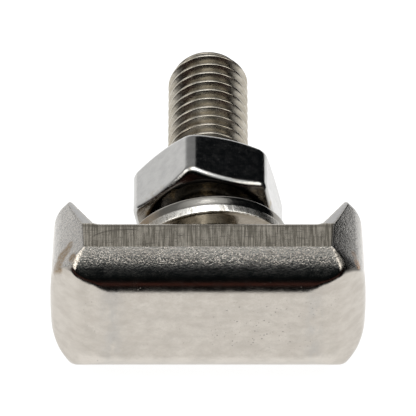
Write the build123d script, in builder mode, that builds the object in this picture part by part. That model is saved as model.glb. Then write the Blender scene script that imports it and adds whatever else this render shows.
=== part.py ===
from build123d import *
from math import ceil, cos, radians, sin, tan
import os

# Battery terminal T-bolt, lying on its side with its washer and nut.
# X runs along the head, +Y along the shank and away from the head, +Z is up.
# The origin is the centre of the head's flat outer face.

# Forged head: a bevelled block with an ear standing up at each end
head_length = 22.75
head_depth = 11.6
head_thickness = 4.8
end_bevel_run = 3.225
end_bevel_rise = 2.8
side_bevel_run = 2.3
side_bevel_rise = 2.25
end_crown = 0.55

# Ears, which lean inwards on every side
ear_rise = 3.75
ear_foot_width = 3.225
ear_top_width = 1.525
ear_wall_draft = 0.15
ear_side_lean = 16
ear_tip_radius = 0.8
ear_root_radius = 0.5

# Corner faces: where each one cuts the long side, the end wall and how far it leans out
corner_along_side = 2.5
corner_along_end = 2.95
corner_lean = 2.2
corner_end_radius = 3.0

# Soft forged edges
face_end_radius = 2.5
end_bevel_radius = 0.6
corner_edge_radius = 0.4

# Shank: rolled M6 x 1 thread with a short plain neck under it
thread_diameter = 5.88
thread_pitch = 1.0
thread_depth = 0.55
thread_crest = 0.16
thread_flank_angle = 30
thread_turned = -64.8
shank_length = 24.1
neck_step = 0.265
neck_length = 1.6
neck_fillet = 0.35
point_length = 1.5
point_run = 0.99
point_radius = 0.8

# Washer: plain, loose on the shank, leaning against the nut
washer_play = 0.41
washer_ring_width = 2.55
washer_thickness = 1.4
washer_edge = 0.12
washer_lean = 14.8
washer_yaw = 5.7
washer_gap = 3.85

# Nut: 10 mm across its flats, chamfered on both faces
nut_across_flats = 10.0
nut_height = 5.0
nut_chamfer_angle = 30
nut_edge_radius = 0.18
nut_bearing_step = 0.3
nut_gap = 6.05
nut_turned = -13.7
nut_play = 0.05
nut_bore_chamfer = 0.35

# Finest length that the model tells apart, how far a cutting profile reaches past its piece, and how
# many steps draw a thread's flank
tolerance = 0.001
reach = 1.0
flank_steps = 6

# Places that follow from the sizes
half_length = head_length / 2
half_depth = head_depth / 2
half_face = half_length - end_bevel_run
half_face_depth = half_depth - side_bevel_run
half_gap_floor = half_length - ear_foot_width
half_gap_top = half_length - ear_top_width
ear_top_y = head_thickness + ear_rise
ear_half_depth = half_depth - ear_rise * tan(radians(ear_side_lean))
neck_end_y = head_thickness + neck_length
tip_y = head_thickness + shank_length
washer_y = head_thickness + washer_gap
nut_y = head_thickness + nut_gap
thread_radius = thread_diameter / 2
neck_radius = thread_radius - neck_step
point_face_radius = thread_radius - point_run
point_shoulder_y = tip_y - point_length
point_slope = point_run / point_length
thread_root_radius = thread_radius - thread_depth
crest_half_turn = radians(180) * thread_crest / thread_pitch
thread_turns = ceil((tip_y - neck_end_y) / thread_pitch)
flank_turn = radians(360) * thread_depth * tan(radians(thread_flank_angle)) / thread_pitch
washer_bore_radius = thread_radius + washer_play
washer_radius = washer_bore_radius + washer_ring_width
nut_bore_radius = thread_radius + nut_play
nut_bearing_radius = nut_across_flats / 2 - nut_bearing_step
nut_corner_radius = nut_across_flats / 2 / cos(radians(30))
chamfer_radius = nut_corner_radius + reach
chamfer_rise = (chamfer_radius - nut_bearing_radius) * tan(radians(nut_chamfer_angle))

# The corner cut at the head's +X +Z corner, its normal pointing out of the head
corner_on_side = Vector(half_length - corner_along_side, side_bevel_rise, half_depth)
corner_on_end = Vector(half_length, end_bevel_rise, half_depth - corner_along_end)
corner_flat = Vector(corner_along_end, 0, corner_along_side).normalized()
corner_normal = Vector(corner_flat.X, -tan(radians(corner_lean)), corner_flat.Z).normalized()


def corner_plane(side_x, side_z):
    """The corner cut, mirrored to the corner with these signs of X and Z."""
    origin = Vector(corner_on_side.X * side_x, corner_on_side.Y, corner_on_side.Z * side_z)
    normal = Vector(corner_normal.X * side_x, corner_normal.Y, corner_normal.Z * side_z)
    return Plane(origin=origin, z_dir=normal)


def on_corner_cut(edge):
    """True for an edge that lies in one of the four corner cuts."""
    for place in (0, 0.5, 1):
        point = edge @ place
        folded = Vector(abs(point.X), point.Y, abs(point.Z))
        if abs((folded - corner_on_side).dot(corner_normal)) > tolerance:
            return False
    return True


def on_end_bevel(edge):
    """True for an edge that lies in one of the two bevels at the head's ends."""
    for place in (0, 0.5, 1):
        point = edge @ place
        if abs((abs(point.X) - half_face) * end_bevel_rise - point.Y * end_bevel_run) > tolerance:
            return False
    return True


def on_side_bevel(edge):
    """True for an edge that lies in one of the two bevels along the head's sides."""
    for place in (0, 0.5, 1):
        point = edge @ place
        if abs((abs(point.Z) - half_face_depth) * side_bevel_rise - point.Y * side_bevel_run) > tolerance:
            return False
    return True


def on_ear_tip(edge):
    """True for an edge round the outside of an ear's top, but not along its lip."""
    point = edge.center()
    outside_lip = abs(point.X) > half_gap_top + tolerance
    return point.Y > ear_top_y - tolerance and outside_lip and abs(point.Z) < ear_half_depth - tolerance


def on_washer_rim(edge):
    """True for a circle round the washer's outside."""
    return abs(edge.radius - washer_radius) < tolerance


def shank_plane(y):
    """A plane across the shank at this height, its normal along +Y."""
    return Plane(origin=(0, y, 0), x_dir=(1, 0, 0), z_dir=(0, 1, 0))


def on_thread_section(radius, turn):
    """A point of the thread's cross-section, turned this far from the middle of its crest."""
    return (radius * sin(turn), -radius * cos(turn))


def flank_points(side):
    """One flank of the thread's cross-section, from its crest down to its root."""
    shares = [step / flank_steps for step in range(flank_steps + 1)]
    return [
        on_thread_section(thread_radius - thread_depth * share, side * (crest_half_turn + flank_turn * share))
        for share in shares
    ]


# Threaded shank: the thread's cross-section turns once for each pitch as it rises, right-handed
turned = radians(thread_turned)
thread_plane = Plane(origin=(0, neck_end_y, 0), x_dir=(cos(turned), 0, -sin(turned)), z_dir=(0, 1, 0))
with BuildSketch(thread_plane) as thread_section:
    with BuildLine():
        right_flank = Spline(*flank_points(1))
        left_flank = Spline(*flank_points(-1))
        ThreePointArc(left_flank @ 0, (0, -thread_radius), right_flank @ 0)
        ThreePointArc(left_flank @ 1, (0, thread_root_radius), right_flank @ 1)
    make_face()
one_turn = Solid.extrude_linear_with_rotation(
    thread_section.sketch.faces()[0],
    center=(0, neck_end_y, 0),
    normal=(0, thread_pitch, 0),
    angle=360,
)
with BuildPart() as threaded_shank:
    with Locations(*[(0, thread_pitch * turn, 0) for turn in range(thread_turns)]):
        add(one_turn)

    # Its start is chamfered up from the neck, and its point is tapered and rounded
    with BuildSketch(Plane.XY):
        with BuildLine():
            Polyline(
                (0, neck_end_y),
                (neck_radius, neck_end_y),
                (thread_radius + reach, neck_end_y + thread_radius + reach - neck_radius),
                (thread_radius + reach, point_shoulder_y - reach / point_slope),
                (point_face_radius, tip_y),
                (0, tip_y),
                close=True,
            )
        point_corner = make_face().vertices().group_by(Axis.Y)[-1].sort_by(Axis.X)[-1]
        fillet(point_corner, radius=point_radius)
    revolve(axis=Axis.Y, mode=Mode.INTERSECT)

# Head and shank are one forging
with BuildPart() as t_bolt:
    # Seen from above: bevelled ends, ears and the floor between them
    with BuildSketch(Plane.XY.offset(-half_depth)):
        with BuildLine():
            right = Polyline(
                (0, 0),
                (half_face, 0),
                (half_length, end_bevel_rise),
                (half_length - ear_wall_draft, ear_top_y),
                (half_gap_top, ear_top_y),
                (half_gap_floor, head_thickness),
                (0, head_thickness),
            )
            mirror(right, about=Plane.YZ)
        make_face()
    extrude(amount=head_depth)

    # Seen from its end: a bevel along each long edge, and ears that lean in
    with BuildSketch(Plane.YZ.offset(-half_length)):
        with BuildLine():
            front = Polyline(
                (0, 0),
                (0, half_face_depth),
                (side_bevel_rise, half_depth),
                (head_thickness, half_depth),
                (ear_top_y, ear_half_depth),
                (ear_top_y, 0),
            )
            mirror(front, about=Plane.XZ)
        make_face()
    extrude(amount=head_length, mode=Mode.INTERSECT)

    # Seen along the shank: crowned ends
    with BuildSketch(Plane.XZ.offset(-ear_top_y)):
        with BuildLine():
            crown = ThreePointArc(
                (half_length - end_crown, half_depth),
                (half_length, 0),
                (half_length - end_crown, -half_depth),
            )
            top = Line(crown @ 0, (0, half_depth))
            bottom = Line(crown @ 1, (0, -half_depth))
            mirror(about=Plane.YZ)
        make_face()
    extrude(amount=ear_top_y, mode=Mode.INTERSECT)

    for side_x in (-1, 1):
        for side_z in (-1, 1):
            split(bisect_by=corner_plane(side_x, side_z), keep=Keep.BOTTOM)

    # Soft forged edges, the largest first
    corner_edges = t_bolt.edges().filter_by(on_corner_cut)
    fillet(corner_edges.filter_by(GeomType.LINE, reverse=True), radius=corner_end_radius)
    face_ends = t_bolt.edges().filter_by(Axis.Z).group_by(Axis.Y)[0]
    fillet(face_ends, radius=face_end_radius)
    bevel_edges = t_bolt.edges().filter_by(on_end_bevel).filter_by(Axis.Z, reverse=True)
    fillet(bevel_edges.filter_by(on_side_bevel, reverse=True), radius=end_bevel_radius)
    side_edges = t_bolt.edges().filter_by(on_corner_cut).filter_by(on_side_bevel)
    fillet(side_edges, radius=corner_edge_radius)
    fillet(t_bolt.edges().filter_by(on_ear_tip), radius=ear_tip_radius)
    floor_edges = t_bolt.edges().filter_by(Axis.Z).filter_by_position(
        Axis.Y, head_thickness - tolerance, head_thickness + tolerance
    )
    fillet(floor_edges, radius=ear_root_radius)

    # Plain neck, filleted into the floor, and the threaded shank on it
    with BuildSketch(shank_plane(side_bevel_rise)):
        Circle(neck_radius)
    extrude(amount=neck_end_y - side_bevel_rise)
    neck_root = t_bolt.edges().filter_by(GeomType.CIRCLE).filter_by_position(
        Axis.Y, head_thickness - tolerance, head_thickness + tolerance
    )
    fillet(neck_root, radius=neck_fillet)
    add(threaded_shank.part)

# Washer, stamped flat, its hole centred on the shank half way through its thickness
lean = radians(washer_lean)
yaw = radians(washer_yaw)
washer_normal = Vector(-sin(yaw) * cos(lean), cos(yaw) * cos(lean), sin(lean))
washer_front = Vector(0, washer_y, 0) - washer_normal * (washer_thickness / 2)
washer_plane = Plane(origin=washer_front, x_dir=(cos(yaw), sin(yaw), 0), z_dir=washer_normal)
with BuildPart() as washer:
    with BuildSketch(washer_plane):
        Circle(washer_radius)
        Circle(washer_bore_radius, mode=Mode.SUBTRACT)
    extrude(amount=washer_thickness)
    fillet(washer.edges().filter_by(GeomType.CIRCLE).filter_by(on_washer_rim), radius=washer_edge)

# Hexagon nut, turned on its thread as it stands
with BuildPart() as hex_nut:
    with BuildSketch(shank_plane(nut_y)) as nut_section:
        RegularPolygon(
            radius=nut_across_flats / 2, side_count=6, major_radius=False, rotation=nut_turned - 90
        )
        fillet(nut_section.vertices(), radius=nut_edge_radius)
        Circle(nut_bore_radius, mode=Mode.SUBTRACT)
    extrude(amount=nut_height)

    # Both faces are chamfered down to their bearing circles
    with BuildSketch(Plane.XY):
        with BuildLine():
            Polyline(
                (0, nut_y),
                (nut_bearing_radius, nut_y),
                (chamfer_radius, nut_y + chamfer_rise),
                (chamfer_radius, nut_y + nut_height - chamfer_rise),
                (nut_bearing_radius, nut_y + nut_height),
                (0, nut_y + nut_height),
                close=True,
            )
        make_face()
    revolve(axis=Axis.Y, mode=Mode.INTERSECT)
    bore_mouths = hex_nut.edges().filter_by(GeomType.CIRCLE).filter_by(
        lambda edge: abs(edge.radius - nut_bore_radius) < tolerance
    )
    chamfer(bore_mouths, length=nut_bore_chamfer)

# One STEP file for each piece
t_bolt.part.label = "t_bolt"
washer.part.label = "washer"
hex_nut.part.label = "hex_nut"
os.makedirs("parts", exist_ok=True)
export_step(t_bolt.part, "parts/t_bolt.step")
export_step(washer.part, "parts/washer.step")
export_step(hex_nut.part, "parts/hex_nut.step")
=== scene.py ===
import math

import bmesh
import bpy
import numpy as np
from mathutils import Matrix, Vector


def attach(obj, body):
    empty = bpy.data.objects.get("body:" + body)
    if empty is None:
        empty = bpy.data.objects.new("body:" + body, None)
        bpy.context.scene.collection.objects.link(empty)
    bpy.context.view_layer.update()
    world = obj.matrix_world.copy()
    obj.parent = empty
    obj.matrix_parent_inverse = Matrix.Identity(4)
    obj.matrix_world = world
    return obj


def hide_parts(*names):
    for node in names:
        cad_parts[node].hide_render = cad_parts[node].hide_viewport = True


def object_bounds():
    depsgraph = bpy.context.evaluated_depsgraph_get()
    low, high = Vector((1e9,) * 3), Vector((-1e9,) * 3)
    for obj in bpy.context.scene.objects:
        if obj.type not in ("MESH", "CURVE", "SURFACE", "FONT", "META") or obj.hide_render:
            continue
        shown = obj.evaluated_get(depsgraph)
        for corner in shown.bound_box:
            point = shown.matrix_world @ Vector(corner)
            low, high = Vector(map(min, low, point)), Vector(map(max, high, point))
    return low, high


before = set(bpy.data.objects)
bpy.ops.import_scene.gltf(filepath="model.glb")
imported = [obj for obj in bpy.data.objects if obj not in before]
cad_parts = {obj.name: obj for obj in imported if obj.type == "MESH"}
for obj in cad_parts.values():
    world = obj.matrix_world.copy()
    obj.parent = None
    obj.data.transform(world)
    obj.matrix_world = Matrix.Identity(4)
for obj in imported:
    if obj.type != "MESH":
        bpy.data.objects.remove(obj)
cad_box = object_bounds()
MM = 0.001
WHITE = (1.0, 1.0, 1.0)
bpy.context.scene.view_settings.view_transform = "Standard"


# Camera: a long lens, 40 degrees above the table

TARGET = Vector((0.0, 13.45, 0.0)) * MM
ELEVATION = math.radians(40)
DISTANCE = 0.6

camera_data = bpy.data.cameras.new("camera")
camera_data.sensor_width = 36.0
camera_data.lens = 711.5
camera_data.clip_start = 0.05
camera_data.clip_end = 10.0
camera = bpy.data.objects.new("camera", camera_data)
bpy.context.scene.collection.objects.link(camera)
towards = Vector((0.0, -math.cos(ELEVATION), math.sin(ELEVATION)))
camera.location = TARGET + towards * DISTANCE
camera.rotation_euler = (math.radians(90) - ELEVATION, 0.0, 0.0)
bpy.context.scene.camera = camera


# Helpers

class Nodes:
    """A small wrapper for building a node tree."""

    def __init__(self, tree):
        self.tree = tree
        tree.nodes.clear()

    def add(self, kind, **settings):
        node = self.tree.nodes.new(kind)
        for key, value in settings.items():
            setattr(node, key, value)
        return node

    def link(self, a, b):
        self.tree.links.new(a, b)

    def put(self, socket, value):
        if isinstance(value, bpy.types.NodeSocket):
            self.link(value, socket)
        else:
            socket.default_value = value

    def math(self, operation, a, b=None):
        node = self.add("ShaderNodeMath", operation=operation)
        self.put(node.inputs[0], a)
        if b is not None:
            self.put(node.inputs[1], b)
        return node.outputs[0]

    def fold(self, operation, values):
        result = values[0]
        for value in values[1:]:
            result = self.math(operation, result, value)
        return result

    def every(self, *values):
        """The product of the values, which is one only where all of them are."""
        return self.fold("MULTIPLY", values)

    def most(self, *values):
        return self.fold("MAXIMUM", values)

    def total(self, *values):
        return self.fold("ADD", values)

    def ramp(self, value, low, high, to_low=0.0, to_high=1.0, smooth=True):
        """Maps low..high to to_low..to_high and holds the ends."""
        node = self.add("ShaderNodeMapRange")
        node.interpolation_type = "SMOOTHSTEP" if smooth else "LINEAR"
        self.put(node.inputs["Value"], value)
        names = ("From Min", "From Max", "To Min", "To Max")
        for name, number in zip(names, (low, high, to_low, to_high)):
            self.put(node.inputs[name], number)
        return node.outputs[0]

    def band(self, value, low, high, soft):
        """One between low and high, with soft ends."""
        rise = self.ramp(value, low - soft, low + soft)
        fall = self.ramp(value, high - soft, high + soft, 1.0, 0.0)
        return self.every(rise, fall)

    def curve(self, value, points):
        """A colour ramp over 0..1 through (value, grey or colour) points."""
        node = self.add("ShaderNodeValToRGB")
        self.put(node.inputs[0], value)
        stops = node.color_ramp.elements
        while len(stops) < len(points):
            stops.new(0.5)
        for stop, (place, tone) in zip(stops, points):
            stop.position = place
            stop.color = (*(tone if isinstance(tone, tuple) else (tone, tone, tone)), 1.0)
        return node.outputs[0]

    def mix(self, factor, a, b):
        node = self.add("ShaderNodeMix", data_type="RGBA")
        self.put(node.inputs[0], factor)
        for socket, value in ((node.inputs[6], a), (node.inputs[7], b)):
            if isinstance(value, tuple):
                value = (*value, 1.0)
            self.put(socket, value)
        return node.outputs[2]

    def paint(self, under, tone, *amounts):
        """One colour with another over it, by the product of the amounts."""
        return self.mix(self.every(*amounts), under, tone)

    def place(self, scale=(1, 1, 1), offset=(0, 0, 0)):
        """Object coordinates in millimetres, stretched by scale."""
        where = self.add("ShaderNodeTexCoord").outputs["Object"]
        node = self.add("ShaderNodeMapping")
        self.link(where, node.inputs["Vector"])
        node.inputs["Scale"].default_value = [s / MM for s in scale]
        node.inputs["Location"].default_value = offset
        return node.outputs[0]

    def noise(self, vector, scale, detail=3.0, rough=0.5):
        node = self.add("ShaderNodeTexNoise")
        self.link(vector, node.inputs["Vector"])
        node.inputs["Scale"].default_value = scale
        node.inputs["Detail"].default_value = detail
        node.inputs["Roughness"].default_value = rough
        return node.outputs[0]

    def clouds(self, vector, scale, detail, rough, low, high, to_low=0.0, to_high=1.0):
        """Noise, with low..high of it mapped to to_low..to_high."""
        return self.ramp(self.noise(vector, scale, detail, rough), low, high, to_low, to_high)

    def spots(self, vector, scale, outer, inner):
        """Round spots: one within inner of their middles, nothing beyond outer."""
        node = self.add("ShaderNodeTexVoronoi")
        self.link(vector, node.inputs["Vector"])
        node.inputs["Scale"].default_value = scale
        return self.ramp(node.outputs["Distance"], outer, inner)

    def parts(self, vector):
        """The three numbers of a vector."""
        node = self.add("ShaderNodeSeparateXYZ")
        self.link(vector, node.inputs[0])
        return node.outputs

    def reach(self, a, b):
        """The distance from the axis on which both of these coordinates are nothing."""
        return self.math("SQRT", self.total(self.every(a, a), self.every(b, b)))

    def near(self, vector, centre, reach, soft=0.5):
        """One at a place in millimetres, falling to nothing at reach."""
        node = self.add("ShaderNodeVectorMath", operation="DISTANCE")
        self.link(vector, node.inputs[0])
        node.inputs[1].default_value = centre
        return self.ramp(node.outputs["Value"], reach * (1 - soft), reach, 1.0, 0.0)

    def bump(self, height, distance, normal=None):
        node = self.add("ShaderNodeBump")
        node.inputs["Strength"].default_value = 1.0
        node.inputs["Distance"].default_value = distance
        self.link(height, node.inputs["Height"])
        if normal is not None:
            self.link(normal, node.inputs["Normal"])
        return node.outputs[0]


def mesh_object(name, vertices, faces):
    mesh = bpy.data.meshes.new(name)
    mesh.from_pydata([tuple(v) for v in vertices], [], [tuple(f) for f in faces])
    mesh.update()
    thing = bpy.data.objects.new(name, mesh)
    bpy.context.scene.collection.objects.link(thing)
    return thing


def opened(thing):
    """A thing's mesh, opened for editing."""
    bm = bmesh.new()
    bm.from_mesh(thing.data)
    return bm


def write_back(bm, thing):
    bm.to_mesh(thing.data)
    bm.free()


def face_outwards(thing):
    bm = opened(thing)
    bmesh.ops.recalc_face_normals(bm, faces=bm.faces)
    write_back(bm, thing)


def smooth(thing):
    for polygon in thing.data.polygons:
        polygon.use_smooth = True


# World: white to the camera. The metal reflects a studio that is bright overhead, dim halfway up behind
# the part and dark in front of it, with two dark cards at the right and a bright one at each side

DEGREES = 180 / math.pi
CARD_TONE = (0.005, 0.006, 0.007)
GLINT_TONE = (2.4, 2.35, 2.25)

world = bpy.data.worlds.new("studio")
bpy.context.scene.world = world
world.use_nodes = True
w = Nodes(world.node_tree)
east, north, up = w.parts(w.add("ShaderNodeTexCoord").outputs["Generated"])
height = w.math("MULTIPLY", w.math("ARCSINE", up), DEGREES)
side = w.math("MULTIPLY", w.math("ARCTAN2", east, north), DEGREES)
height_share = w.ramp(height, -90, 90, smooth=False)


def by_height(points):
    """A ramp through (degrees above the table, tone) points."""
    return w.curve(height_share, [((degrees + 90) / 180, tone) for degrees, tone in points])


def patch(azimuth, left, right, bottom, top):
    """One inside a patch of the world. Each side fades over a pair of degrees."""
    return w.every(
        w.ramp(azimuth, *left), w.ramp(azimuth, *right, 1.0, 0.0),
        w.ramp(height, *bottom), w.ramp(height, *top, 1.0, 0.0),
    )


behind = by_height([(-90, 1.0), (12, 0.95), (26, 0.34), (46, 0.28), (63, 1.0), (90, 1.0)])
before = by_height([
    (-90, 1.0), (-9, 1.0), (-5, 0.02), (0, 0.004), (8, 0.003),
    (13, (0.085, 0.031, 0.024)), (18, 0.003), (45, (0.005, 0.007, 0.008)),
    (47.6, (0.022, 0.026, 0.028)), (49.8, (0.112, 0.124, 0.130)), (52, (0.345, 0.370, 0.385)),
    (55, (0.60, 0.635, 0.65)), (60, (0.70, 0.735, 0.75)), (68, 1.0), (90, 1.0),
])
studio = w.mix(w.ramp(north, -0.25, 0.25), before, behind)
card = patch(side, (8, 20), (58, 72), (-10, -5), (48, 60))
low_card = patch(side, (8, 20), (92, 102), (-10, -5), (22, 28))
studio = w.mix(w.most(card, low_card), studio, CARD_TONE)
glint = patch(w.math("ABSOLUTE", side), (72, 78), (126, 134), (28, 33), (52, 58))
studio = w.mix(glint, studio, GLINT_TONE)
seen = w.mix(w.add("ShaderNodeLightPath").outputs["Is Camera Ray"], studio, WHITE)
background = w.add("ShaderNodeBackground")
w.link(seen, background.inputs["Color"])
out = w.add("ShaderNodeOutputWorld")
w.link(background.outputs[0], out.inputs["Surface"])


# Floor: a white disc at the height of the part's lowest point, and a lamp above it

FLOOR = cad_box[0][2]
FLOOR_RADIUS, FLOOR_SIDES = 70 * MM, 96
# To camera and glossy rays the floor glows and is grey, which shows as white with a soft shadow. All other
# rays meet a plain white floor
FLOOR_BOUNCE = (0.85, 0.85, 0.85)
FLOOR_SEEN = (0.24, 0.24, 0.24)
FLOOR_GLOW = 0.935

ring = []
for i in range(FLOOR_SIDES):
    angle = math.tau * i / FLOOR_SIDES
    ring.append((FLOOR_RADIUS * math.cos(angle), FLOOR_RADIUS * math.sin(angle) + TARGET.y, FLOOR))
floor = mesh_object("floor", ring, [range(FLOOR_SIDES)])
floor_look = bpy.data.materials.new("floor_white")
floor_look.use_nodes = True
m = Nodes(floor_look.node_tree)
path = m.add("ShaderNodeLightPath")
shown = m.most(path.outputs["Is Camera Ray"], path.outputs["Is Glossy Ray"])
diffuse = m.add("ShaderNodeBsdfDiffuse")
m.link(m.mix(shown, FLOOR_BOUNCE, FLOOR_SEEN), diffuse.inputs["Color"])
glow = m.add("ShaderNodeEmission")
glow.inputs["Color"].default_value = (*WHITE, 1.0)
m.link(m.every(shown, FLOOR_GLOW), glow.inputs["Strength"])
glowing = m.add("ShaderNodeAddShader")
m.link(diffuse.outputs[0], glowing.inputs[0])
m.link(glow.outputs[0], glowing.inputs[1])
out = m.add("ShaderNodeOutputMaterial")
m.link(glowing.outputs[0], out.inputs["Surface"])
floor.data.materials.append(floor_look)

lamp_data = bpy.data.lights.new("top_light", "AREA")
lamp_data.shape = "DISK"
lamp_data.size = 0.36
lamp_data.energy = 0.8
lamp = bpy.data.objects.new("top_light", lamp_data)
lamp.location = (0.0, TARGET.y, 0.5)
bpy.context.scene.collection.objects.link(lamp)


# Shapes: functions of a point in millimetres, below zero inside and above zero outside


def plane(x, z, through, normal):
    """Signed distance in the plane of two coordinates from a line, positive on its normal's side."""
    length = math.hypot(*normal)
    return ((x - through[0]) * normal[0] + (z - through[1]) * normal[1]) / length


def both(a, b, radius):
    """Inside both shapes, with a rounded edge."""
    inner = np.minimum(-radius, np.maximum(a, b))
    return inner + np.hypot(np.maximum(a + radius, 0), np.maximum(b + radius, 0))


def either(a, b, radius):
    """Inside either shape, with a filleted root."""
    outer = np.maximum(radius, np.minimum(a, b))
    return outer - np.hypot(np.maximum(radius - a, 0), np.maximum(radius - b, 0))


def arch(share):
    """One halfway across a face and nothing at its two edges, where share is 0 and 1."""
    return 1 - (2 * share - 1) ** 2


def slopes(shape, p, step=0.004):
    """Value and gradient of a shape at each point."""
    gradient = np.empty_like(p)
    for k in range(3):
        move = np.zeros(3)
        move[k] = step
        gradient[:, k] = (shape(p + move) - shape(p - move)) / (2 * step)
    return shape(p), gradient


def settle(shape, p):
    """Moves points onto the shape's surface."""
    least_slope = 0.2
    for _ in range(4):
        value, gradient = slopes(shape, p)
        p = p - gradient * (value / np.maximum((gradient ** 2).sum(1), least_slope))[:, None]
    return p


def skin(shape, low, high, step):
    """Points and four-sided faces on a shape's surface, one point in each grid cell that it crosses."""
    axes = [np.arange(a, b + step, step) for a, b in zip(low, high)]
    grid = np.stack(np.meshgrid(*axes, indexing="ij"), -1)
    solid = shape(grid) < 0
    wide, long, tall = (n - 1 for n in solid.shape)
    cells = np.zeros((wide, long, tall), int)
    for i in (0, 1):
        for j in (0, 1):
            for k in (0, 1):
                cells += solid[i:wide + i, j:long + j, k:tall + k]
    crossed = (cells > 0) & (cells < 8)
    number = np.full(crossed.shape, -1)
    number[crossed] = np.arange(crossed.sum())
    points = grid[:-1, :-1, :-1][crossed] + step / 2
    faces = []
    for k in range(3):
        turn = [k, (k + 1) % 3, (k + 2) % 3]
        s = solid.transpose(turn)
        n = number.transpose(turn)
        leaving = s[:-1, 1:-1, 1:-1] & ~s[1:, 1:-1, 1:-1]
        entering = ~s[:-1, 1:-1, 1:-1] & s[1:, 1:-1, 1:-1]
        square = np.stack([n[:, :-1, :-1], n[:, 1:, :-1], n[:, 1:, 1:], n[:, :-1, 1:]], -1)
        faces += [square[leaving], square[entering][:, ::-1]]
    faces = np.concatenate(faces)
    edges = np.concatenate([faces[:, [a, (a + 1) % 4]] for a in range(4)])
    points = settle(shape, points)
    for _ in range(3):
        total = np.zeros_like(points)
        neighbours = np.zeros(len(points))
        for a, b in ((0, 1), (1, 0)):
            np.add.at(total, edges[:, a], points[edges[:, b]])
            np.add.at(neighbours, edges[:, a], 1)
        points = settle(shape, points * 0.5 + total / neighbours[:, None] * 0.5)
    return points, faces


# Bolt: the head

# The sizes of the part's source, in millimetres, but for SIDE_RUN, which is 0.1 longer, and LOWER_RISE,
# which is the lower bevel's own
HEAD_LENGTH, HEAD_DEPTH, HEAD_THICKNESS = 22.75, 11.6, 4.8
END_RUN, END_RISE, END_CROWN = 3.225, 2.8, 0.55
SIDE_RUN, SIDE_RISE, LOWER_RISE = 2.4, 2.25, 2.95
EAR_RISE, EAR_FOOT, EAR_TOP, EAR_DRAFT, EAR_LEAN = 3.75, 3.225, 1.525, 0.15, math.radians(16)
CORNER_SIDE, CORNER_END, CORNER_LEAN = 2.5, 2.95, math.radians(2.2)
# How far the forged faces bulge, and how fast the corners curl in towards the outer face
CORNER_SWELL, BEVEL_SWELL, END_SWELL, CORNER_CURL = 0.18, 0.085, 0.31, 0.235
# The corners' bulge loses this share of itself on the way up the ears
SWELL_LOSS = 0.6
# Radii of rounded edges, and how far the flat top of an ear is moved out before it is rounded
END_TO_CORNER, BEVEL_TO_END, EAR_ROUND, EAR_GROWTH = 0.45, 0.3, 0.75, 0.28
FLAT_TO_BEVEL, FLAT_TO_EAR, FRONT_ENDS, FRONT_SIDES = 0.012, 0.02, 0.9, 0.75
# Where the sides meet the ends, the edge is sharp above the side bevel and gets rounder down along it
CORNER_EDGE, CORNER_EDGE_MORE, CORNER_EDGE_FROM, CORNER_EDGE_OVER = 0.04, 0.2, 0.1, 0.5
GAP_ROOT, GAP_LIP = 0.3, 0.1
# The side flat meets its bevel in a crisp line: points this near to it are put on it
CRISP_REACH, CRISP_HALF_LENGTH = 0.085, 8.84
# Edges within this of the line that bend by more than this angle are marked sharp
CRISP_FOUND, CRISP_ANGLE = 0.002, 0.4
HEAD_LOW, HEAD_HIGH, HEAD_STEP = (-11.7, -0.3, -6.1), (11.7, 8.9, 6.1), 0.148


def head_shape(p):
    """The forged head."""
    x, y, z = np.abs(p[..., 0]), p[..., 1], np.abs(p[..., 2])
    half, deep = HEAD_LENGTH / 2, HEAD_DEPTH / 2
    ear_top = HEAD_THICKNESS + EAR_RISE
    front = -y

    rise = np.where(p[..., 2] > 0, SIDE_RISE, LOWER_RISE)
    down = np.clip(((deep - z) + (rise - y)) / (SIDE_RUN + rise), 0, 1)
    side_bevel = ((z - deep) * rise - (y - rise) * SIDE_RUN) / np.hypot(rise, SIDE_RUN)
    side_bevel = side_bevel - BEVEL_SWELL * arch(down)
    flat = z - deep
    ear_side = plane(z, y, (deep, HEAD_THICKNESS), (math.cos(EAR_LEAN), math.sin(EAR_LEAN)))
    sides = both(both(flat, side_bevel, FLAT_TO_BEVEL), ear_side, FLAT_TO_EAR)

    wall = half - END_CROWN * (z / deep) ** 2
    end = plane(x - wall, y, (0, END_RISE), (ear_top - END_RISE, EAR_DRAFT))
    out = np.clip((x - half + END_RUN) / END_RUN, 0, 1)
    end_bevel = plane(x, y, (half - END_RUN, 0), (END_RISE, -END_RUN)) - END_SWELL * arch(out)

    width = math.hypot(CORNER_END, CORNER_SIDE)
    normal = np.array([CORNER_END, 0, CORNER_SIDE]) / width
    across = (x - (half - CORNER_SIDE)) * normal[2] - (z - deep) * normal[0]
    up_ear = np.clip((y - HEAD_THICKNESS) / EAR_RISE, 0, 1)
    swell = CORNER_SWELL * arch(across / width) * (1 - SWELL_LOSS * up_ear)
    corner = (x - (half - CORNER_SIDE)) * normal[0] + (z - deep) * normal[2]
    corner = corner - (y - SIDE_RISE) * math.tan(CORNER_LEAN) - swell
    corner = corner + CORNER_CURL * np.maximum(SIDE_RISE - y, 0) ** 2

    ends = both(end, corner, END_TO_CORNER)
    ends = both(ends, end_bevel, BEVEL_TO_END)
    ends = both(ends, y - ear_top - EAR_GROWTH, EAR_ROUND)
    rounder = np.clip((SIDE_RISE + CORNER_EDGE_FROM - y) / CORNER_EDGE_OVER, 0, 1)
    edge = CORNER_EDGE + CORNER_EDGE_MORE * rounder
    body = both(both(ends, front, FRONT_ENDS), both(sides, front, FRONT_SIDES), edge)
    inner_wall = plane(x, y, (half - EAR_FOOT, HEAD_THICKNESS), (-EAR_RISE, EAR_FOOT - EAR_TOP))
    gap = either(y - HEAD_THICKNESS, inner_wall, GAP_ROOT)
    return both(body, gap, GAP_LIP)


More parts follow.
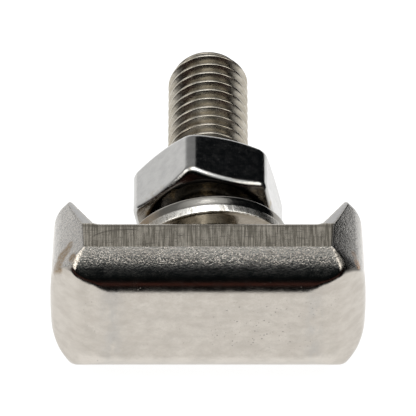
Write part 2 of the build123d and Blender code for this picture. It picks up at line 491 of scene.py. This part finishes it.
step = HEAD_STEP
head_points, head_faces = skin(head_shape, HEAD_LOW, HEAD_HIGH, step)
crisp = np.hypot(head_points[:, 1] - SIDE_RISE, head_points[:, 2] - HEAD_DEPTH / 2) < CRISP_REACH
crisp &= np.abs(head_points[:, 0]) < CRISP_HALF_LENGTH
head_points[crisp, 1], head_points[crisp, 2] = SIDE_RISE, HEAD_DEPTH / 2


# Bolt: the shank, with a helical thread

TIP, NECK_END, PITCH = 28.9, 6.4, 1.0
CREST, NECK, DEPTH, CREST_PHASE = 2.94, 2.675, 0.55, 0.58
ROOT = CREST - DEPTH
# The thread grows to its full depth over this length
RUN_IN = 0.5
# The point tapers from this far below the tip, then is rounded to a flat of this radius
TAPER_LENGTH, TAPER, TIP_FLAT, TIP_ROUND, TIP_ROUND_LENGTH = 1.15, 0.62, 1.98, 0.4, 0.25
# Half of the thread's section: how far along from the crest's middle, and how far out from the root
HALF_PROFILE = [
    (0.04, 0.55), (0.08, 0.54), (0.105, 0.508), (0.16, 0.413),
    (0.25, 0.256), (0.34, 0.105), (0.395, 0.022), (0.44, 0.003),
]
PROFILE = [(-0.5, 0.0)] + [(-a, d) for a, d in reversed(HALF_PROFILE)] + HALF_PROFILE
# Radii and heights of the rings that carry the neck on into the head, and close the tip
NECK_RINGS = [(NECK, 5.3), (NECK + 0.03, 5.05), (NECK + 0.13, 4.9), (NECK + 0.33, 4.8), (NECK + 0.5, 4.75)]
TIP_RINGS = [(1.9, TIP), (1.4, TIP - 0.01), (1.0, TIP - 0.03), (0.5, TIP - 0.05)]
TURN_STEPS = 80
# Metres within which points are merged, edges are dropped, and points count as on a rim
MERGE, TINY, ON_RIM = 2e-6, 1e-6, 1e-5


def outline(y):
    """Radius of the shank's outline: full, then tapered, then rounded at the tip."""
    if y > TIP - TIP_ROUND_LENGTH:
        return TIP_FLAT + math.sqrt(max(0.0, TIP_ROUND ** 2 - (y - TIP + TIP_ROUND) ** 2))
    return min(CREST, CREST - TAPER * (y - TIP + TAPER_LENGTH))


def shank_radius(y, depth):
    grown = min(1.0, max(0.0, (y - NECK_END) / RUN_IN))
    grown = grown * grown * (3 - 2 * grown)
    return min(NECK + (ROOT + depth - NECK) * grown, outline(y))


def grow_rings(bm, start, steps):
    """Carries the open end at a height on through these radii and heights. Returns the last ring's edges."""
    rim = [e for e in bm.edges if e.is_boundary and all(abs(v.co.y - start * MM) < ON_RIM for v in e.verts)]
    for radius, y in steps:
        made = bmesh.ops.extrude_edge_only(bm, edges=rim)["geom"]
        rim = [g for g in made if isinstance(g, bmesh.types.BMEdge)]
        for v in (g for g in made if isinstance(g, bmesh.types.BMVert)):
            scale = radius * MM / math.hypot(v.co.x, v.co.z)
            v.co = (v.co.x * scale, y * MM, v.co.z * scale)
    return rim


# Rows of points follow the helix and are held at the shank's two ends
rows = [
    (CREST_PHASE + turn * PITCH + phase * PITCH, depth)
    for turn in range(int(NECK_END) - 2, int(TIP) + 3) for phase, depth in PROFILE
]
shank_points, shank_faces = [], []
for i in range(TURN_STEPS + 1):
    angle = math.tau * i / TURN_STEPS
    for y, depth in rows:
        place = min(TIP, max(NECK_END, y + PITCH * i / TURN_STEPS - PITCH))
        r = shank_radius(place, depth)
        shank_points.append((r * math.sin(angle), place, r * math.cos(angle)))
for i in range(TURN_STEPS):
    for j in range(len(rows) - 1):
        a = i * len(rows) + j
        shank_faces.append((a, a + 1, a + len(rows) + 1, a + len(rows)))
shank = mesh_object("shank", np.array(shank_points) * MM, shank_faces)
bm = opened(shank)
bmesh.ops.remove_doubles(bm, verts=bm.verts, dist=MERGE)
bmesh.ops.dissolve_degenerate(bm, edges=bm.edges, dist=TINY)
grow_rings(bm, NECK_END, NECK_RINGS)
bmesh.ops.contextual_create(bm, geom=grow_rings(bm, TIP, TIP_RINGS))
bmesh.ops.recalc_face_normals(bm, faces=bm.faces)
write_back(bm, shank)

bolt = mesh_object("t_bolt_piece", head_points * MM, head_faces)
bm = opened(bolt)
bmesh.ops.dissolve_degenerate(bm, edges=bm.edges, dist=TINY)
bmesh.ops.recalc_face_normals(bm, faces=bm.faces)
bm.from_mesh(shank.data)
write_back(bm, bolt)
bpy.data.objects.remove(shank)
smooth(bolt)


def on_crisp_line(v):
    return math.hypot(v.co.y / MM - SIDE_RISE, v.co.z / MM - HEAD_DEPTH / 2) < CRISP_FOUND


bm = opened(bolt)
for edge in bm.edges:
    if all(on_crisp_line(v) for v in edge.verts) and edge.calc_face_angle(0.0) > CRISP_ANGLE:
        edge.smooth = False
write_back(bm, bolt)


# Washer: built flat about its own middle, then leaned as it stands on the shank

WASHER_Y, LEAN, YAW = 8.65, math.radians(14.8), math.radians(5.7)
INNER, OUTER, HALF = 3.35, 5.9, 0.7
WASHER_STEPS = 240
# The blanking die tore the rim on the head's side, below zero here, and rolled it on the nut's side
SECTION = [
    (INNER + 0.16, -HALF), (INNER + 1.2, -HALF), (OUTER - 0.5, -HALF), (OUTER - 0.08, -HALF),
    (OUTER - 0.01, -HALF + 0.04), (OUTER, -HALF + 0.10), (OUTER, -0.42), (OUTER, -0.24),
    (OUTER - 0.005, -0.06), (OUTER - 0.01, 0.06), (OUTER - 0.01, 0.20), (OUTER - 0.01, 0.36),
    (OUTER - 0.012, 0.50), (OUTER - 0.02, 0.60), (OUTER - 0.05, 0.67), (OUTER - 0.11, HALF),
    (INNER + 1.2, HALF), (INNER + 0.12, HALF), (INNER + 0.04, HALF - 0.04), (INNER, HALF - 0.12),
    (INNER, 0.0), (INNER, -HALF + 0.16), (INNER + 0.05, -HALF + 0.05),
]
# How deep the tears are, and the stretch of the rim that has them: below this height, beyond this radius
TEAR_DEPTH, TEAR_TOP, TEAR_RADIUS = 0.006, -0.1, OUTER - 0.01

washer_axis = Vector((-math.sin(YAW) * math.cos(LEAN), math.cos(YAW) * math.cos(LEAN), math.sin(LEAN)))
washer_x = Vector((math.cos(YAW), math.sin(YAW), 0.0))
washer_y = washer_axis.cross(washer_x)
tear = np.convolve(np.random.default_rng(7).normal(size=WASHER_STEPS * 2), [0.25, 0.5, 0.25], "same")
washer_points, washer_faces = [], []
for i in range(WASHER_STEPS):
    angle = math.tau * i / WASHER_STEPS
    for j, (r, h) in enumerate(SECTION):
        if r > TEAR_RADIUS and h < TEAR_TOP:
            r = r - abs(TEAR_DEPTH * tear[i + WASHER_STEPS * (j % 2)])
        washer_points.append((r * math.sin(angle) * MM, r * math.cos(angle) * MM, h * MM))
for i in range(WASHER_STEPS):
    here, after = i * len(SECTION), (i + 1) % WASHER_STEPS * len(SECTION)
    for j in range(len(SECTION)):
        above = (j + 1) % len(SECTION)
        washer_faces.append((here + j, here + above, after + above, after + j))
washer = mesh_object("washer_piece", washer_points, washer_faces)
face_outwards(washer)
smooth(washer)
pose = Matrix((washer_x, washer_y, washer_axis)).transposed().to_4x4()
pose.translation = Vector((0.0, WASHER_Y * MM, 0.0))
washer.matrix_world = pose


# Nut

ACROSS, NUT_LOW, NUT_HIGH, NUT_TURN = 10.0, 10.85, 15.85, math.radians(16.3)
# Radii of the flat on each face, of the plain hole and, beyond the hole, of its mouth
BEARING, BORE, MOUTH = 4.7, 2.99, 0.35
CHAMFER = math.radians(30)
# Radii of the rounded edges
PRISM_ROUND, CHAMFER_ROUND, FACE_ROUND, HOLE_ROUND = 0.5, 0.27, 0.05, 0.03
NUT_BOX_LOW, NUT_BOX_HIGH, NUT_STEP = (-6.1, 10.6, -6.1), (6.1, 16.1, 6.1), 0.13


def nut_shape(p):
    """The nut, in the bolt's coordinates."""
    x, y, z = p[..., 0], p[..., 1], p[..., 2]
    radius = np.hypot(x, z)
    flats = []
    for k in range(3):
        angle = NUT_TURN + k * math.pi / 3
        flats.append(np.abs(x * math.sin(angle) + z * math.cos(angle)) - ACROSS / 2)
    prism = both(both(flats[0], flats[1], PRISM_ROUND), flats[2], PRISM_ROUND)
    low = (radius - BEARING) * math.sin(CHAMFER) - (y - NUT_LOW) * math.cos(CHAMFER)
    high = (radius - BEARING) * math.sin(CHAMFER) + (y - NUT_HIGH) * math.cos(CHAMFER)
    body = both(prism, np.maximum(low, high), CHAMFER_ROUND)
    body = both(body, np.maximum(NUT_LOW - y, y - NUT_HIGH), FACE_ROUND)
    mouth = np.maximum(BORE + MOUTH - (y - NUT_LOW), BORE + MOUTH - (NUT_HIGH - y))
    hole = np.maximum(BORE - radius, (mouth - radius) * math.sqrt(0.5))
    return both(body, hole, HOLE_ROUND)


step = NUT_STEP
nut_points, nut_faces = skin(nut_shape, NUT_BOX_LOW, NUT_BOX_HIGH, step)
nut = mesh_object("hex_nut_piece", nut_points * MM, nut_faces)
face_outwards(nut)
smooth(nut)


# Metal: tones as linear colours, then the places of the spots that stand alone

NICKEL_DARK, NICKEL_LIGHT = (0.475, 0.438, 0.392), (0.55, 0.514, 0.464)
# The second tone here is painted shade in the outer face's creases
FACE_FINE, FACE_CREASE_SHADE = (0.455, 0.42, 0.375), (0.38, 0.372, 0.36)
# The first tone here is a painted reflection along the outer face's lower edge
FACE_LOW_REFLECTION, FACE_CLOUD = (0.66, 0.62, 0.565), (0.36, 0.335, 0.30)
PIT = (0.13, 0.13, 0.13)
TRIM_DARK, TRIM_LIGHT, TRIM_CROSSED = (0.28, 0.255, 0.205), (0.74, 0.685, 0.585), (0.22, 0.20, 0.17)
# The second tone here is painted shade under the lip of the floor between the ears
SCRATCH, TRIM_LIP_SHADE = (0.16, 0.14, 0.12), (0.20, 0.18, 0.15)
CORNER_GRAIN, CORNER_GREY = (0.25, 0.245, 0.235), (0.42, 0.42, 0.415)
# The first tone here is painted shade on the right front corner
RIGHT_CORNER_SHADE, EAR_SIDE_GREY = (0.05, 0.047, 0.043), (0.415, 0.415, 0.415)
BROWN, RUST = (0.225, 0.15, 0.075), (0.42, 0.24, 0.12)
THREAD_DARK, THREAD_LIGHT = (0.42, 0.385, 0.32), (0.53, 0.495, 0.43)
# The second tone here is painted shade in the thread's roots
THREAD_GRIME, THREAD_ROOT_SHADE = (0.27, 0.215, 0.145), (0.16, 0.145, 0.12)
WASHER_DARK, WASHER_LIGHT = (0.50, 0.47, 0.42), (0.58, 0.545, 0.49)
TORN_LIGHT, TORN_DARK, ROLLED = (0.90, 0.885, 0.84), (0.42, 0.39, 0.33), (0.27, 0.265, 0.245)
# The first tone here is painted shade at the washer rim's two ends
RIM_END_SHADE, WASHER_BROWN = (0.17, 0.155, 0.13), (0.20, 0.135, 0.075)
# Painted shade on the two faces where the washer and the nut lie against each other
SHADE_BETWEEN = (0.03, 0.028, 0.026)
NUT_DARK, NUT_LIGHT = (0.455, 0.45, 0.44), (0.52, 0.515, 0.50)
# The first two tones here are painted shade, on a part of the nut's chamfer and in its hole
SLANT_SHADE, HOLE_SHADE, STAIN = (0.09, 0.08, 0.065), (0.10, 0.09, 0.075), (0.33, 0.26, 0.16)
# Middle and reach of each spot in the smear on the left ear, and of the two in the rust on the right one
BROWN_SPOTS = [
    ((-10.75, 2.35, 3.6), 0.95), ((-10.34, 2.92, 4.07), 0.85), ((-10.03, 3.12, 4.44), 0.7),
    ((-9.77, 3.4, 4.74), 0.55), ((-9.6, 2.0, 4.9), 0.5),
]
RUST_SPOT, FAINT_RUST_SPOT = ((10.6, 2.58, 3.8), 0.55), ((10.3, 3.2, 4.1), 0.5)


def begin(name):
    material = bpy.data.materials.new(name)
    material.use_nodes = True
    m = Nodes(material.node_tree)
    shader = m.add("ShaderNodeBsdfPrincipled")
    shader.inputs["Metallic"].default_value = 1.0
    out = m.add("ShaderNodeOutputMaterial")
    m.link(shader.outputs[0], out.inputs["Surface"])
    return material, m, shader


def face_tone(m, where, x, z, face):
    """Nickel in two tones. On the outer face also fine clouds, painted shade along two creases and a lighter
    lower edge that is a painted reflection of the floor.
    """
    tone = m.mix(m.clouds(m.place((0.7, 0.7, 1.3)), 1.1, 4, 0.6, 0.3, 0.7), NICKEL_DARK, NICKEL_LIGHT)
    tone = m.paint(tone, FACE_FINE, face, m.clouds(where, 7.0, 3, 0.6, 0.35, 0.7), 0.5)
    along = m.place((1, 0, 0.0))
    # Painted shade along two creases across the outer face
    crease_shade = m.total(m.near(along, (-6.9, 0, 0), 1.3, 1.0), m.near(along, (7.6, 0, 0), 0.9, 1.0))
    crease_shade = m.every(crease_shade, m.clouds(m.place((1, 1, 0.5), (7, 0, 7)), 1.3, 4, 0.6, 0.32, 0.62))
    tone = m.paint(tone, FACE_CREASE_SHADE, face, crease_shade, 0.5)
    # Painted reflection: the outer face is lighter along its lower edge
    return m.paint(tone, FACE_LOW_REFLECTION, face, m.ramp(z, -2.6, -3.1), 0.6)


def pitting(m, x, z, face, corner):
    """Small pits in patches on the outer face and the corners, and larger holes in the face's middle."""
    small = m.spots(m.place((1, 1, 1.3)), 2.6, 0.10, 0.06)
    patchy = m.clouds(m.place(offset=(3, 0, 5)), 0.55, 3, 0.5, 0.50, 0.60)
    small = m.every(small, patchy, m.total(m.every(face, 0.75), m.every(corner, 0.6)))
    large = m.spots(m.place((1, 1, 1.2), (2, 0, 7)), 3.3, 0.25, 0.12)
    patchy = m.clouds(m.place(offset=(8, 0, 1)), 1.0, 3, 0.5, 0.50, 0.56)
    large = m.every(large, patchy, face, m.band(x, 0.2, 8.0, 0.6), m.band(z, -2.0, 2.4, 0.5))
    return m.most(small, m.every(large, 0.6))


def trimmed_tone(m, where, x, y, streaks):
    """Trimmed sides: cut lines both ways, a scratch and a strip of painted shade below the floor between the
    ears.
    """
    tone = m.mix(m.ramp(streaks, 0.40, 0.62), TRIM_DARK, TRIM_LIGHT)
    crossed = m.clouds(m.place((0.8, 7.0, 1.0), (4, 4, 0)), 1.0, 3, 0.7, 0.54, 0.66)
    tone = m.paint(tone, TRIM_CROSSED, crossed, 0.7)
    # The scratch runs along the head and dips at its left end
    dip = m.every(m.math("EXPONENT", m.every(m.total(x, 8.3), -1.25)), 0.9)
    level = m.total(4.06, m.every(m.noise(where, 1.6), 0.25))
    off = m.math("ABSOLUTE", m.math("SUBTRACT", m.total(y, dip), level))
    tone = m.paint(tone, SCRATCH, m.ramp(off, 0.09, 0.03), m.band(x, -8.25, -5.2, 0.2), 0.7)
    # Painted shade: a darker strip just under the lip of the floor between the ears
    return m.paint(tone, TRIM_LIP_SHADE, m.ramp(y, 4.35, 4.5), m.ramp(y, 4.72, 4.6), 0.5)


def thread_tone(m, where, y, radius):
    """Plated crests with grime towards the head, and painted shade that deepens from the crests into the
    roots.
    """
    crest = m.mix(m.clouds(where, 1.3, 4, 0.6, 0.35, 0.65), THREAD_DARK, THREAD_LIGHT)
    grime = m.every(m.ramp(y, 21.5, 18.5), m.clouds(m.place(offset=(6, 3, 2)), 0.8, 4, 0.6, 0.42, 0.60))
    crest = m.paint(crest, THREAD_GRIME, grime, 0.5)
    # Painted shade: darker from the crests down into the roots
    return m.mix(m.ramp(radius, 2.42, 2.90), THREAD_ROOT_SHADE, crest)


def bolt_metal():
    """Nickel plating over a forged head with trimmed sides, and a rolled thread with painted shade in its
    roots.
    """
    material, m, shader = begin("bolt_plating")
    where = m.place()
    x, y, z = m.parts(where)
    nx, ny, nz = m.parts(m.add("ShaderNodeTexCoord").outputs["Normal"])
    anx, anz = m.math("ABSOLUTE", nx), m.math("ABSOLUTE", nz)
    radius = m.reach(x, z)

    # Areas, by place and by the direction that the surface faces
    shank = m.every(m.ramp(radius, 3.2, 3.0), m.ramp(y, 4.85, 4.95))
    head = m.math("SUBTRACT", 1.0, shank)
    face = m.every(head, m.ramp(ny, -0.80, -0.95))
    bevel = m.every(head, m.band(ny, -0.86, -0.45, 0.05), m.ramp(anz, 0.45, 0.6))
    trimmed = m.every(head, m.ramp(anz, 0.95, 0.985), m.band(y, 2.2, 4.85, 0.03))
    corner = m.every(head, m.band(anx, 0.35, 0.97, 0.1), m.ramp(anz, 0.2, 0.35), m.ramp(ny, -0.5, -0.3))
    ear_side = m.every(head, m.band(ny, 0.18, 0.36, 0.04), m.ramp(anz, 0.9, 0.94), m.ramp(y, 4.8, 4.95))
    # Painted shade: the dark front corner at the right, between the outer face and the ear
    right_corner_shade = m.every(
        m.ramp(x, 8.95, 9.2), m.ramp(ny, -0.98, -0.9), m.ramp(z, 3.0, 3.7), m.ramp(y, 2.9, 2.1),
        m.ramp(anx, 0.28, 0.42), m.ramp(anz, 0.2, 0.36),
    )

    # Colour
    streaks = m.noise(m.place((9.0, 0.35, 1.0)), 1.0, 3, 0.7)
    pits = pitting(m, x, z, face, corner)
    colour = m.paint(face_tone(m, where, x, z, face), PIT, pits)
    clouds = m.clouds(m.place((1, 1, 1.6), (5, 0, 2)), 0.75, 5, 0.62, 0.42, 0.66)
    colour = m.paint(colour, FACE_CLOUD, face, clouds, 0.30)
    colour = m.paint(colour, trimmed_tone(m, where, x, y, streaks), trimmed, 0.9)
    grain = m.clouds(m.place(offset=(9, 2, 4)), 6.5, 4, 0.7, 0.42, 0.62)
    colour = m.paint(colour, CORNER_GRAIN, corner, grain, 0.85)
    colour = m.paint(colour, CORNER_GREY, corner, 0.35)
    # Painted shade on the right front corner
    colour = m.paint(colour, RIGHT_CORNER_SHADE, right_corner_shade, 0.85)
    colour = m.paint(colour, EAR_SIDE_GREY, ear_side, 0.85)
    broken = m.every(
        m.clouds(m.place((1.2, 1.2, 1.2), (1, 7, 2)), 2.2, 5, 0.7, 0.22, 0.44),
        m.clouds(m.place(offset=(3, 3, 1)), 5.5, 3, 0.65, 0.38, 0.58, 0.45, 1.0),
    )
    brown = m.most(*(m.near(where, spot, reach) for spot, reach in BROWN_SPOTS))
    colour = m.paint(colour, BROWN, brown, broken, 0.9, m.ramp(anz, 0.05, 0.3))
    rust = m.most(m.near(where, *RUST_SPOT), m.every(m.near(where, *FAINT_RUST_SPOT), 0.6))
    colour = m.paint(colour, RUST, rust, broken, 0.8)
    colour = m.mix(shank, colour, thread_tone(m, where, y, radius))
    m.link(colour, shader.inputs["Base Color"])

    rough = m.clouds(m.place(offset=(2, 5, 1)), 1.7, 4, 0.6, 0.3, 0.7, 0.13, 0.20)
    for area, more in ((bevel, -0.05), (trimmed, 0.12), (corner, 0.08), (shank, 0.09), (brown, 0.15)):
        rough = m.total(rough, m.every(area, more))
    m.link(rough, shader.inputs["Roughness"])

    # Relief: forging grain, flecks on the bevels, pits, and cut lines on the trimmed sides
    rugged = m.total(m.every(bevel, m.ramp(y, 0.9, 1.9, 0.15, 0.45)), m.every(corner, 1.25))
    relief = m.every(m.noise(where, 5.6, 4, 0.62), m.total(0.10, rugged))
    relief = m.math("SUBTRACT", relief, m.every(pits, 0.6))
    flecks = m.clouds(m.place(offset=(1, 3, 8)), 9.0, 2, 0.6, 0.52, 0.72)
    relief = m.total(relief, m.every(flecks, bevel, m.ramp(y, 1.0, 1.9), 0.75))
    normal = m.bump(relief, 0.030 * MM)
    normal = m.bump(m.every(streaks, trimmed), 0.02 * MM, normal)
    m.link(normal, shader.inputs["Normal"])
    return material


def washer_metal():
    """Bright, with a torn rim that is brighter still. Dark on the rolled rim, and painted shade on the rim's
    two ends and on the nut's side.
    """
    material, m, shader = begin("washer_plating")
    where = m.place()
    x, y, z = m.parts(where)
    rim = m.ramp(m.reach(x, y), 5.78, 5.86)
    torn = m.every(rim, m.ramp(z, 0.0, -0.12))
    rolled = m.every(rim, m.ramp(z, -0.10, 0.02), m.ramp(z, 0.62, 0.52))
    ends = m.most(m.ramp(x, -2.3, -4.4), m.ramp(x, 2.9, 4.2))
    nut_side = m.ramp(z, 0.60, 0.69)
    stained = m.every(m.ramp(x, -3.2, -4.6), m.clouds(where, 1.8, 4, 0.7, 0.34, 0.52))

    # The tears are drawn on the rim's own surface, rolled out flat
    around = m.add("ShaderNodeCombineXYZ")
    m.link(m.every(m.math("ARCTAN2", x, y), OUTER), around.inputs[0])
    m.link(z, around.inputs[1])
    stretch = m.add("ShaderNodeMapping")
    m.link(around.outputs[0], stretch.inputs["Vector"])
    stretch.inputs["Scale"].default_value = (3.2, 0.9, 1.0)
    tears = m.noise(stretch.outputs[0], 1.0, 4, 0.65)

    colour = m.mix(m.clouds(where, 1.5, 4, 0.6, 0.3, 0.7), WASHER_DARK, WASHER_LIGHT)
    colour = m.paint(colour, TORN_LIGHT, torn, m.ramp(tears, 0.25, 0.50))
    colour = m.paint(colour, TORN_DARK, torn, m.ramp(tears, 0.48, 0.36), 0.4)
    colour = m.paint(colour, ROLLED, rolled, 0.8)
    # Painted shade at the rim's left and right ends
    colour = m.paint(colour, RIM_END_SHADE, ends, rim, 0.72)
    # Painted shade on the washer's face against the nut
    colour = m.paint(colour, SHADE_BETWEEN, nut_side, 0.93)
    colour = m.paint(colour, WASHER_BROWN, stained, 0.65)
    m.link(colour, shader.inputs["Base Color"])
    rough = m.clouds(where, 2.5, 3, 0.6, 0.3, 0.7, 0.10, 0.17)
    m.link(m.total(rough, m.every(torn, 0.14)), shader.inputs["Roughness"])
    normal = m.bump(m.every(tears, torn), 0.035 * MM)
    normal = m.bump(m.noise(where, 5.0, 4, 0.6), 0.006 * MM, normal)
    m.link(normal, shader.inputs["Normal"])
    return material


def nut_metal():
    """Bright plating with faint grain and specks, and painted shade in the hole, on the bearing face and on a
    part of its chamfer."""
    material, m, shader = begin("nut_plating")
    where = m.place()
    x, y, z = m.parts(where)
    radius = m.reach(x, z)
    facing = m.parts(m.add("ShaderNodeTexCoord").outputs["Normal"])[1]
    bearing = m.every(m.ramp(y, 11.05, 10.87), m.ramp(radius, 5.0, 4.6))
    shaded_slant = m.every(m.band(facing, -0.95, -0.6, 0.1), m.ramp(z, 0.5, 2.5), m.ramp(x, -4.0, -1.5))
    stain = m.every(m.clouds(m.place(offset=(5, 1, 3)), 0.9, 5, 0.7, 0.52, 0.64), m.ramp(y, 12.0, 11.2))

    colour = m.mix(m.clouds(where, 1.2, 4, 0.6, 0.3, 0.7), NUT_DARK, NUT_LIGHT)
    # Painted shade on the nut's face against the washer
    colour = m.paint(colour, SHADE_BETWEEN, bearing, 0.92)
    # Painted shade on a part of the chamfer facing the washer
    colour = m.paint(colour, SLANT_SHADE, shaded_slant, 0.62)
    # Painted shade in the hole
    colour = m.paint(colour, HOLE_SHADE, m.ramp(radius, 3.1, 3.0))
    colour = m.paint(colour, STAIN, stain, 0.5)
    m.link(colour, shader.inputs["Base Color"])
    m.link(m.clouds(where, 2.0, 4, 0.6, 0.3, 0.7, 0.10, 0.18), shader.inputs["Roughness"])
    speck = m.spots(where, 3.4, 0.16, 0.05)
    relief = m.total(m.every(m.noise(where, 5.0, 4, 0.65), 0.5), m.every(speck, 0.25))
    m.link(m.bump(relief, 0.014 * MM), shader.inputs["Normal"])
    return material


for piece, body, slot, look in (
    (bolt, "bolt", "t_bolt", bolt_metal()),
    (washer, "loose_washer", "washer", washer_metal()),
    (nut, "nut", "hex_nut", nut_metal()),
):
    piece.data.materials.clear()
    piece.data.materials.append(look)
    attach(piece, body)
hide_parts("t_bolt")
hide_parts("washer")
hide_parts("hex_nut")

bpy.context.view_layer.update()
